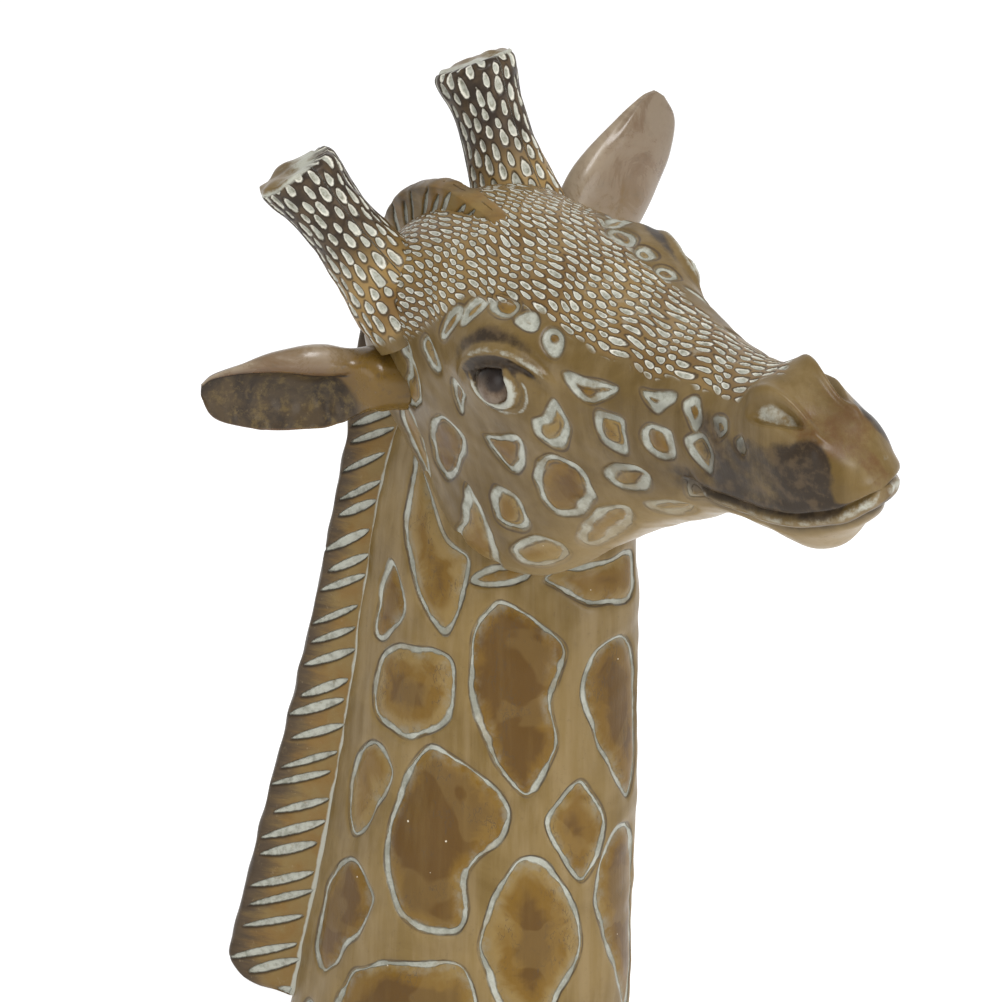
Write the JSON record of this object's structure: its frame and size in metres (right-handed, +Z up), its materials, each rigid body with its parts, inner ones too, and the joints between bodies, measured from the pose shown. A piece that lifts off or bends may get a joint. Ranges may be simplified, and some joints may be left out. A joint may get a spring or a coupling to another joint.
{
  "type": "carved giraffe bust",
  "caption": "Free-standing carved bust of a giraffe: a tapering neck on a flat foot, a mane, and a turned, tilted head with horns and ears.",
  "frame": {"origin": "middle of the flat foot, on the surface that the bust stands on", "axes": "+Z up, the front of the neck faces -Y, the head is turned towards -X, +X is the bust's left"},
  "size_m": [0.1913, 0.2634, 0.3951],
  "materials": {
    "coat": "satin varnish over painted wood",
    "dark_coat": "satin varnish over dark stain",
    "horn_coat": "satin varnish with a pale wash in the cuts",
    "eye_coat": "gloss varnish over dark paint",
    "peg_wood": "bare wood",
    "felt": "felt"
  },
  "bodies": {
    "root": {"neck": "coat", "head": "coat", "mane": "dark_coat", "crest": "dark_coat", "right_ear": "dark_coat", "left_ear": "dark_coat", "right_horn": "horn_coat", "left_horn": "horn_coat", "right_eye": "eye_coat", "left_eye": "eye_coat", "neck_dowel": "peg_wood", "right_horn_dowel": "peg_wood", "left_horn_dowel": "peg_wood", "right_ear_peg": "peg_wood", "left_ear_peg": "peg_wood", "mane_pegs": "peg_wood", "crest_pegs": "peg_wood", "foot_felt": "felt"}
  },
  "joints": []
}
